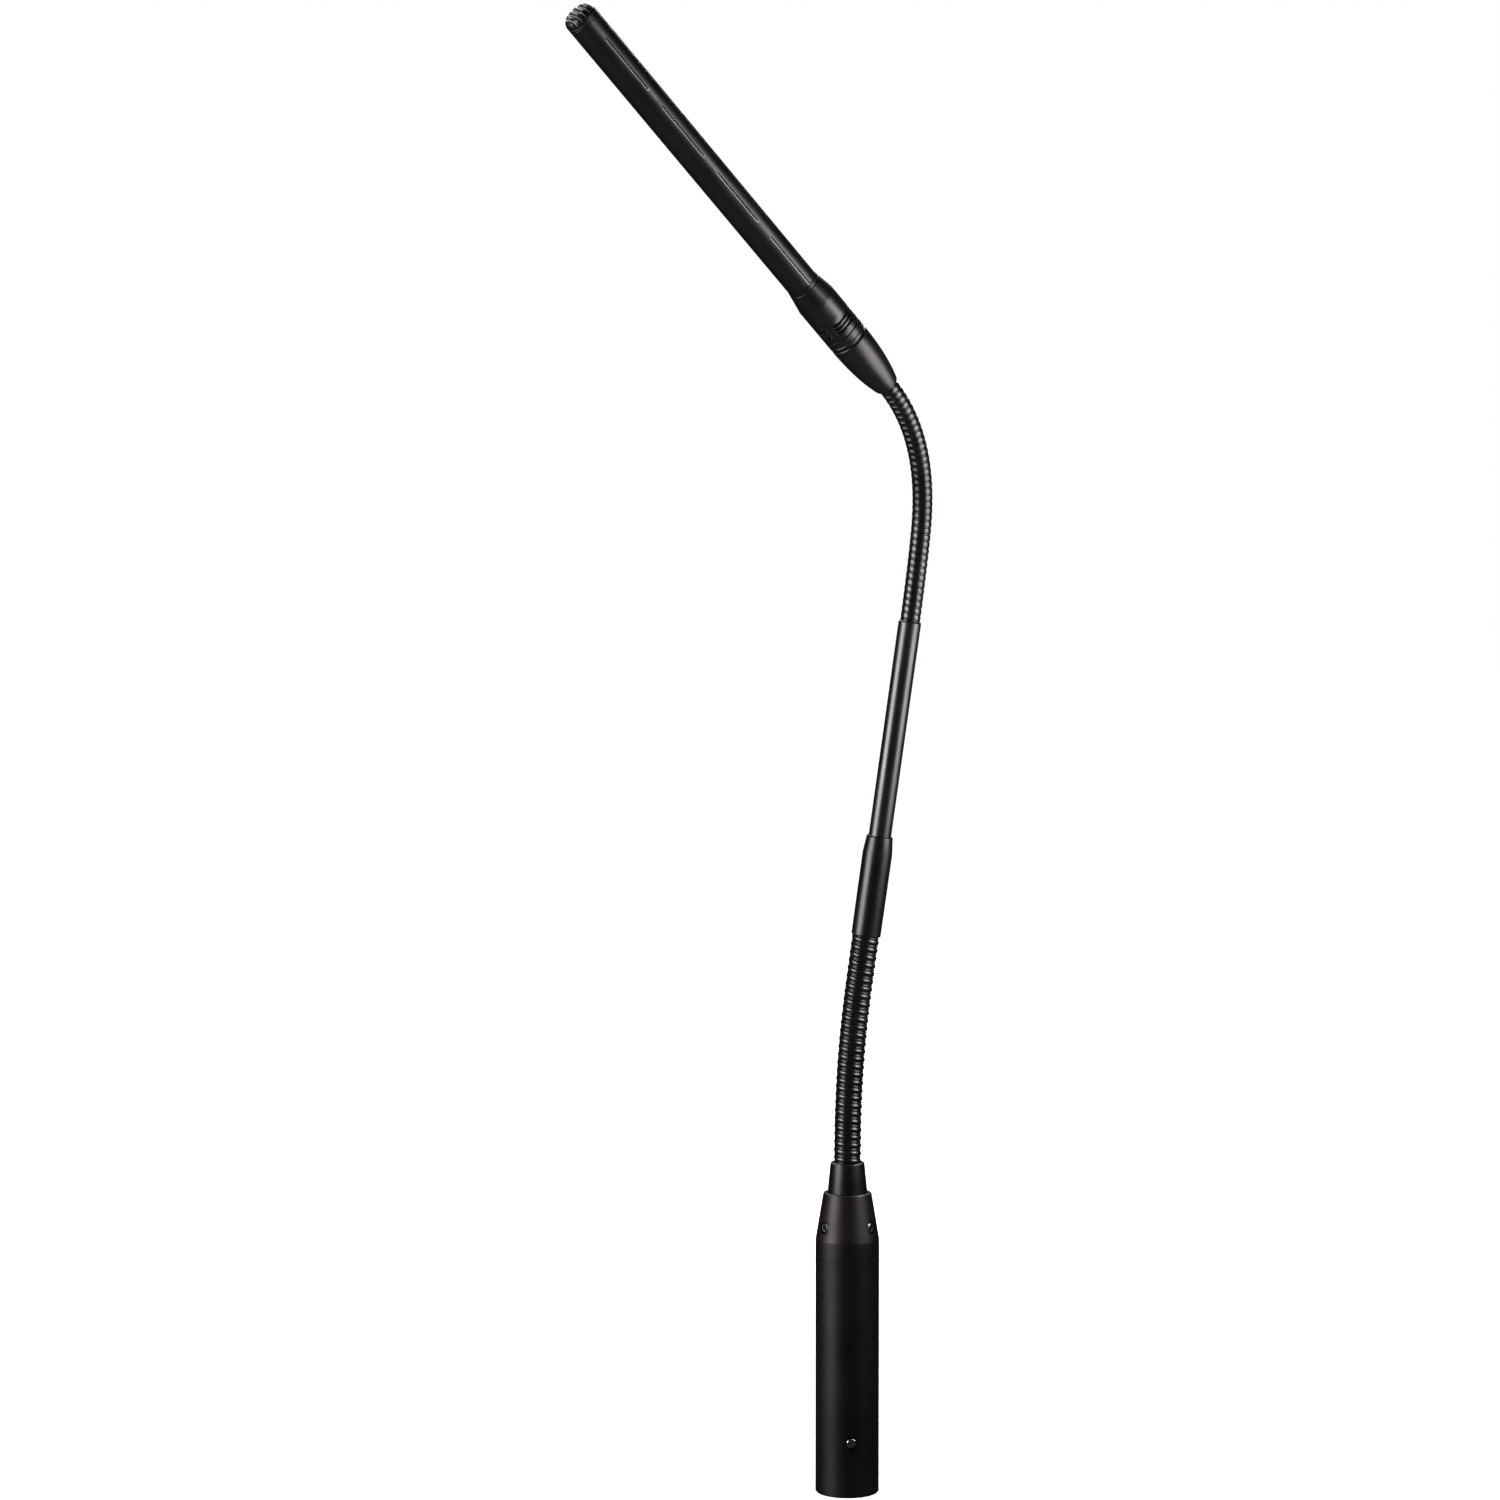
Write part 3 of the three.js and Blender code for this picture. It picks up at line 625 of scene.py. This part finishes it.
def winding_profile(pitch, notch, bands):
    """One turn of the winding: (distance along the neck, fall below its outside). Each band of wire is given
    by its width, its crown and the fall of its middle, and a notch lies between each two bands."""
    gap = (pitch - sum(width for width, _, _ in bands)) / len(bands)
    profile = []
    place = gap / 2
    for width, crown, fall in bands:
        for share in (-1, -0.75, -0.4, 0, 0.4, 0.75, 1):
            profile.append((place + width * (share + 1) / 2, fall + crown * share**2))
        profile.append((place + width + gap / 2, notch))
        place += width + gap
    return profile


def winding_mesh(route, start, end, radius, pitch, profile):
    """The whole winding as points, and its faces, each with its step along the helix and its corners."""
    count = int((end - start) / pitch * TURN_STEPS)
    points = []
    for step in range(count + TURN_STEPS + 1):
        angle = -2 * math.pi * step / TURN_STEPS
        for distance, fall in profile:
            centre, normal, across = route.at(start + pitch * step / TURN_STEPS + distance)
            out = normal * math.cos(angle) + across * math.sin(angle)
            points.append(centre + out * (radius - fall))
    per_step = len(profile)
    faces = []
    for step in range(count):
        for j in range(per_step):
            here = step * per_step + j
            if j + 1 < per_step:
                above = here + 1
            else:
                above = (step + TURN_STEPS) * per_step
            faces.append((step, (here, above, above + per_step, here + per_step)))
    return points, faces


def gooseneck(name, route, bodies, radius, pitch, profile):
    """Winds the neck and splits it into one piece for each hinge. One more turn at each end is hidden in the
    neck's fittings."""
    start, end = NECK_LEAD, route.distances[-1] - NECK_LEAD
    points, faces = winding_mesh(route, start - pitch, end + pitch, radius, pitch, profile)
    whole = bpy.data.meshes.new(name)
    whole.from_pydata([point * MM for point in points], [], [corners for _, corners in faces])
    normals = [vertex.normal.copy() for vertex in whole.vertices]
    hinges = len(bodies) - 1
    spacing = (end - start) / hinges
    first_step = 0
    for i in range(hinges):
        border = pitch + spacing * (i + 1)
        last_step = int(border / pitch * TURN_STEPS) if i + 1 < hinges else len(faces)
        chosen = [corners for step, corners in faces if first_step <= step < last_step]
        first_step = last_step
        used = sorted({corner for corners in chosen for corner in corners})
        renumbered = {old: new for new, old in enumerate(used)}
        patch = [[renumbered[corner] for corner in corners] for corners in chosen]
        mesh = bpy.data.meshes.new(f"{name}_{i + 1}")
        mesh.from_pydata([points[old] * MM for old in used], [], patch)
        mesh.shade_smooth()
        mesh.normals_split_custom_set_from_vertices([normals[old] for old in used])
        obj = with_object(mesh)
        obj.data.materials.append(LOOKS["neck_finish"])
        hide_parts(f"{name}_{i + 1}")
        if i + 1 == hinges:
            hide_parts(f"{name}_{hinges + 1}")
        margin = pitch / 2
        begin = route.at(start + spacing * i + margin)[0] * MM
        finish_point = route.at(start + spacing * (i + 1) - margin)[0] * MM
        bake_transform(obj)


def lower_neck():
    foot = Vector((0, 0, LOWER_NECK_FOOT))
    points = [foot - UP * NECK_LEAD]
    points += list(bezier(foot, UP, 32, STEM_FOOT, STEM_DIRECTION, 22))
    points += [STEM_FOOT, STEM_FOOT + STEM_DIRECTION * NECK_LEAD]
    bodies = ["base"] + [f"lower_link_{i}" for i in range(1, 6)] + ["stem"]
    profile = winding_profile(LOWER_NECK_PITCH, 0.55, [(1.5, 0.24, 0), (0.46, 0.12, 0.1)])
    gooseneck("lower_neck", Route(points), bodies, LOWER_NECK_RADIUS, LOWER_NECK_PITCH, profile)


def upper_neck():
    points = [STEM_HEAD - STEM_DIRECTION * NECK_LEAD]
    points += list(bezier(STEM_HEAD, STEM_DIRECTION, 7.3, UPPER_MIDDLE, UPPER_MIDDLE_DIRECTION, 7.6))
    points += list(bezier(UPPER_MIDDLE, UPPER_MIDDLE_DIRECTION, 9.7, HEAD_FOOT, HEAD_DIRECTION, 19.1))
    points += [HEAD_FOOT, HEAD_FOOT + HEAD_DIRECTION * NECK_LEAD]
    bodies = ["stem"] + [f"upper_link_{i}" for i in range(1, 8)] + ["head"]
    profile = winding_profile(UPPER_NECK_PITCH, 0.32, [(1.42, 0.05, 0), (0.32, 0.05, 0.07)])
    gooseneck("upper_neck", Route(points), bodies, UPPER_NECK_RADIUS, UPPER_NECK_PITCH, profile)


lower_neck()
upper_neck()


# ---- stem ----
def sleeve():
    taper_foot = SLEEVE_LENGTH - 5.1
    obj = with_object(turned("sleeve", [
        (3.5, 0.05), (SLEEVE_RADIUS - 0.25, 0.05), (SLEEVE_RADIUS, 0.3), (SLEEVE_RADIUS + 0.03, taper_foot),
        (STEM_RADIUS + 0.55, SLEEVE_LENGTH - 0.3), (STEM_RADIUS + 0.3, SLEEVE_LENGTH),
        (3.45, SLEEVE_LENGTH - 0.1),
    ], STEM, fillet=0.4))
    obj.data.materials.append(LOOKS["sleeve_paint"])
    present(obj, "stem", "stem_paint", "coupling_sleeve")


def stem_tube():
    foot = 6  # inside the sleeve
    obj = with_object(turned("stem", [
        (STEM_BORE, foot), (STEM_RADIUS, foot), (STEM_RADIUS, STEM_TOP - 0.3), (STEM_RADIUS - 0.3, STEM_TOP),
        (STEM_BORE, STEM_TOP),
    ], STEM, fillet=0.3))
    present(obj, "stem", "stem_paint", "stem_tube")


sleeve()
stem_tube()


# ---- head ----
def rounding(distance, radius):
    """How far a rounded edge falls below the surface, at a distance from the piece's end."""
    inward = max(0.0, radius - distance)
    return radius - math.sqrt(radius * radius - inward * inward)


def rear_housing():
    half_length = 24.2
    rim = 0.75  # length over which the front edge is rounded
    outside = []
    heights = [0.35 + (REAR_HOUSING_END - rim - 0.35) * i / 16 for i in range(17)]
    heights += [REAR_HOUSING_END - rim * share for share in (0.7, 0.45, 0.25, 0.1, 0.03, 0)]
    for height in heights:
        share = (REAR_HOUSING_END - height) / half_length
        radius = HOUSING_RADIUS * math.sqrt(1 - share * share)
        outside.append((radius - 0.5 * rounding(REAR_HOUSING_END - height, rim), height))
    outline = [(3.15, 8), (3.15, 0.3), (3.35, 0.02)] + outside + [(4.6, REAR_HOUSING_END), (4.6, 12.5)]
    obj = with_object(turned("bullet", outline, HEAD, fillet=0.15))
    present(obj, "head", "head_paint", "rear_housing")


def lock_ring():
    foot = REAR_HOUSING_END + SEAM
    bore, groove = 3.6, 5.45
    line = 20.95  # a fine line turned into the band
    obj = with_object(turned("ring", [
        (bore, foot), (groove, foot), (groove, foot + 0.3), (HOUSING_RADIUS, foot + 0.6),
        (HOUSING_RADIUS, line - 0.15), (HOUSING_RADIUS - 0.18, line), (HOUSING_RADIUS, line + 0.15),
        (HOUSING_RADIUS, LOCK_RING_END), (bore, LOCK_RING_END),
    ], HEAD, fillet=0.1))
    present(obj, "head", "head_paint", "lock_ring")


# How far along a rounded edge its rings of points lie, from the end of the piece to the end of the rounding.
EDGE_SHARES = (0, 0.04, 0.15, 0.35, 0.65, 1)


def flare_radius(height):
    share = (height - FLARE_START) / (FLARE_END - FLARE_START)
    return HOUSING_RADIUS + (TUBE_RADIUS - HOUSING_RADIUS) * min(max(share, 0), 1)


def spaced(low, high, step):
    count = max(1, round((high - low) / step))
    return [low + (high - low) * i / count for i in range(count)]


def capsule_housing():
    foot = LOCK_RING_END + SEAM
    half = PORT_WIDTH / 2
    quarter = math.pi / 2
    angles = []
    for k in range(4):
        middle = k * quarter
        angles += spaced(middle - PORT_ARC / 2, middle + PORT_ARC / 2, math.radians(2.6))
        angles += spaced(middle + PORT_ARC / 2, middle + quarter - PORT_ARC / 2, math.radians(2.4))
    middles = [PORT_FIRST + i * PORT_PITCH for i in range(3)]
    rear_edge, front_edge = 0.35, 0.15
    stations = [foot + rear_edge * share for share in EDGE_SHARES]
    stations.append(middles[0] - 0.9)
    stations += [middle + half * share for middle in middles for share in (-1, -0.7, 0, 0.7, 1)]
    stations += [30, FLARE_START - 0.3, FLARE_START, FLARE_START + 0.3]
    stations += [HOUSING_END - front_edge * share for share in reversed(EDGE_SHARES)]

    def outer(height):
        fall = rounding(height - foot, rear_edge) + rounding(HOUSING_END - height, front_edge)
        return flare_radius(height) - fall

    def inner(height):
        return min(5.2, outer(height) - 0.45)

    def port_offset(angle):
        return (angle + quarter / 2) % quarter - quarter / 2

    def in_a_row(station):
        return any(abs(station - middle) < half for middle in middles)

    def is_hole(angle, station):
        return abs(port_offset(angle)) < PORT_ARC / 2 and in_a_row(station)

    # Cells just past each end of a port get the lighter metal colour: painted glints at the port ends.
    def is_painted_highlight(angle, station):
        past_end = (abs(port_offset(angle)) - PORT_ARC / 2) * HOUSING_RADIUS
        return 0 < past_end < PORT_WIDTH and in_a_row(station)

    def shift(angle, station):
        offset = port_offset(angle)
        at_end = abs(abs(offset) - PORT_ARC / 2) < 1e-6
        near = min(abs(station - middle) for middle in middles)
        if at_end and near < half:
            bulge = math.sqrt(half * half - near * near) / HOUSING_RADIUS
            return angle + math.copysign(bulge, offset), station
        return angle, station

    shell = pierced_shell("housing", angles, stations, outer, inner, is_hole, is_painted_highlight, shift, HEAD)
    obj = with_object(shell)
    # The bevels of its edges get the lighter metal colour: a painted highlight.
    bevel_with_painted_highlight(obj, "head_paint", 0.12)
    present(obj, "head", "head_paint", "capsule_housing")


def interference_tube():
    foot = HOUSING_END + SEAM
    half = SLOT_WIDTH / 2
    half_angle = half / TUBE_RADIUS
    lip = SLOT_LIP / TUBE_RADIUS
    angles = []
    for middle in (0, math.pi):
        angles += [middle + half_angle * share for share in (-1, -0.7, 0, 0.7, 1)]
        angles += spaced(middle + half_angle + lip, middle + math.pi - half_angle - lip, math.radians(2.9))
        angles.append(middle + math.pi - half_angle - lip)
    feet = [SLOT_FIRST + i * SLOT_PITCH for i in range(4)]
    slots = [(low, low + SLOT_LENGTH) for low in feet]
    straights = [(low + half, high - half) for low, high in slots]
    edge = 0.12
    stations = [foot + edge * share for share in EDGE_SHARES]
    stations += [FLARE_END + offset for offset in (-0.45, -0.15, 0.15, 0.45)]
    stations += [end for straight in straights for end in straight]
    stations += [low - SLOT_LIP for low, _ in slots[1:]] + [high + SLOT_LIP for _, high in slots]
    stations += [TUBE_END - edge * share for share in EDGE_SHARES]
    stations.sort()

    def outer(height):
        return flare_radius(height) - rounding(height - foot, edge) - rounding(TUBE_END - height, edge)

    def inner(height):
        return TUBE_BORE

    def slot_offset(angle):
        return (angle + math.pi / 2) % math.pi - math.pi / 2

    def is_hole(angle, station):
        return abs(slot_offset(angle)) < half_angle and any(low < station < high for low, high in straights)

    # A band along one side of each slot, and just past its end nearer the housing, gets the lighter metal
    # colour: a painted highlight.
    def is_painted_highlight(angle, station):
        offset = slot_offset(angle)
        beside = any(low - SLOT_LIP < station < high for low, high in slots)
        return beside and -half_angle - lip < offset < half_angle

    def shift(angle, station):
        offset = slot_offset(angle) * TUBE_RADIUS
        if abs(offset) < half:
            bulge = math.sqrt(half * half - offset * offset)
            if any(abs(station - low) < 1e-6 for low, _ in straights):
                return angle, station - bulge
            if any(abs(station - high) < 1e-6 for _, high in straights):
                return angle, station + bulge
        return angle, station

    shell = pierced_shell("tube", angles, stations, outer, inner, is_hole, is_painted_highlight, shift, HEAD)
    obj = with_object(shell)
    # The bevels of its edges get the lighter metal colour: a painted highlight.
    bevel_with_painted_highlight(obj, "head_paint", 0.1)
    present(obj, "head", "head_paint", "interference_tube")


def front_cap():
    foot = TUBE_END + SEAM
    cavity, spigot, spigot_foot = 2.7, 3.4, 138
    cavity_end = HEAD_LENGTH - 1.5
    groove_floor = cavity_end - 0.4
    rim = foot + 0.9
    shoulder = 1.9
    outline = [
        (0, cavity_end), (cavity, cavity_end), (cavity, spigot_foot), (spigot, spigot_foot), (spigot, foot),
        (TUBE_RADIUS, foot), (TUBE_RADIUS, rim - 0.45), (TUBE_RADIUS - 0.12, rim - 0.35),
        (TUBE_RADIUS, rim - 0.25),
    ]
    for step in range(13):
        turn = math.pi / 2 * step / 12
        radius = TUBE_RADIUS - shoulder * (1 - math.cos(turn))
        outline.append((radius, rim + (HEAD_LENGTH - rim) * math.sin(turn)))
    outline.append((0, HEAD_LENGTH))
    obj = with_object(turned("cap", outline, HEAD, fillet=0.1, facets=160))
    obj.data.materials.append(LOOKS["head_paint"])
    obj.data.materials.append(LOOKS["groove_metal"])
    place = HEAD @ Matrix.Rotation(CAP_ROLL, 4, "Z")
    grooves = []
    for step in (-2, -1, 0, 1, 2):
        grooves.append(block(16, CAP_GROOVE_WIDTH, 4, (0, step * CAP_GROOVE_PITCH, groove_floor + 2)))
    carve(obj, grooves, place, bevel=0.1, edge_material=1)
    # The walls of the grooves show lighter metal.
    back = place.inverted()
    across = (place.to_3x3() @ Vector((0, 1, 0))).normalized()
    for face in obj.data.polygons:
        middle = back @ (face.center / MM)
        among_grooves = abs(middle.y) < 2.6 * CAP_GROOVE_PITCH
        is_wall = abs(face.normal.dot(across)) > 0.95 and among_grooves
        if is_wall and middle.z > groove_floor:
            face.material_index = 1
    present(obj, "head", "head_paint", "front_cap")


rear_housing()
lock_ring()
capsule_housing()
interference_tube()
front_cap()


# ---- studio ----
def floor():
    """A white sweep. It shows in no reflection, so that the gloss comes from the softboxes alone."""
    obj = with_object(turned("floor", [(0, -0.4), (9000, -0.4), (9000, 0), (0, 0)], fillet=0, facets=96))
    paper = bpy.data.materials.new("floor_paper")
    paper.use_nodes = True
    shader = paper.node_tree.nodes["Principled BSDF"]
    shader.inputs["Base Color"].default_value = (0.9, 0.9, 0.9, 1)
    shader.inputs["Specular IOR Level"].default_value = 0
    shader.inputs["Roughness"].default_value = 1
    shader.inputs["Emission Color"].default_value = (1, 1, 1, 1)
    shader.inputs["Emission Strength"].default_value = 1.0
    obj.data.materials.append(paper)
    obj.visible_glossy = False
    obj.visible_diffuse = False
    obj.visible_shadow = False


def softbox(name, azimuth, distance, width, bottom, top, radiance):
    """An upright strip of light that faces the axis, at a turn in degrees from the front (-Y) towards the
    right (+X)."""
    data = bpy.data.lights.new(name, "AREA")
    data.shape = "RECTANGLE"
    data.size = width
    data.size_y = top - bottom
    data.energy = radiance * math.pi * data.size * data.size_y
    light = bpy.data.objects.new(name, data)
    turn = math.radians(azimuth)
    light.location = (distance * math.sin(turn), -distance * math.cos(turn), (bottom + top) / 2)
    light.rotation_euler = (math.pi / 2, 0, turn)
    light.visible_camera = False
    bpy.context.scene.collection.objects.link(light)
    return light


def studio_world():
    """White behind the object, but only a dim fill for its surfaces. Their gloss sees a little more light
    from below, as from a floor."""
    world = bpy.data.worlds.new("studio")
    world.use_nodes = True
    tree = world.node_tree
    direction = tree.nodes.new("ShaderNodeSeparateXYZ")
    tree.links.new(tree.nodes.new("ShaderNodeTexCoord").outputs["Generated"], direction.inputs["Vector"])
    gloss = tree.nodes.new("ShaderNodeMapRange")
    for name, value in {"From Min": -0.95, "From Max": -0.6, "To Min": 0.16, "To Max": 0.02}.items():
        gloss.inputs[name].default_value = value
    tree.links.new(direction.outputs["Z"], gloss.inputs["Value"])
    path = tree.nodes.new("ShaderNodeLightPath")
    fill = tree.nodes.new("ShaderNodeMix")
    fill.inputs["A"].default_value = 0.12
    tree.links.new(path.outputs["Is Glossy Ray"], fill.inputs["Factor"])
    tree.links.new(gloss.outputs["Result"], fill.inputs["B"])
    seen = tree.nodes.new("ShaderNodeMix")
    seen.inputs["B"].default_value = 1
    tree.links.new(path.outputs["Is Camera Ray"], seen.inputs["Factor"])
    tree.links.new(fill.outputs["Result"], seen.inputs["A"])
    tree.links.new(seen.outputs["Result"], tree.nodes["Background"].inputs["Strength"])
    tree.nodes["Background"].inputs["Color"].default_value = (1, 1, 1, 1)
    bpy.context.scene.world = world


# The light on the right stands close and fades downwards: each of its panels' bottom, top and radiance.
RIGHT_STRIPS = [(0.12, 0.15, 0.5), (0.15, 0.18, 3.2), (0.18, 0.22, 5.4), (0.22, 0.30, 5.8)]
floor()
softbox("left_strip", -64, 1.3, 0.85, -0.02, 0.65, 9)
for number, (bottom, top, radiance) in enumerate(RIGHT_STRIPS, 1):
    softbox(f"right_strip_{number}", 68, 0.2, 0.14, bottom, top, radiance)
softbox("head_strip", 65, 0.6, 0.42, 0.22, 0.40, 7)
overhead = softbox("overhead", 180, 0.9, 0.9, 0.9, 1.5, 12)
overhead.rotation_euler = (math.radians(45), 0, math.pi)
studio_world()
bpy.context.scene.view_settings.view_transform = "Standard"
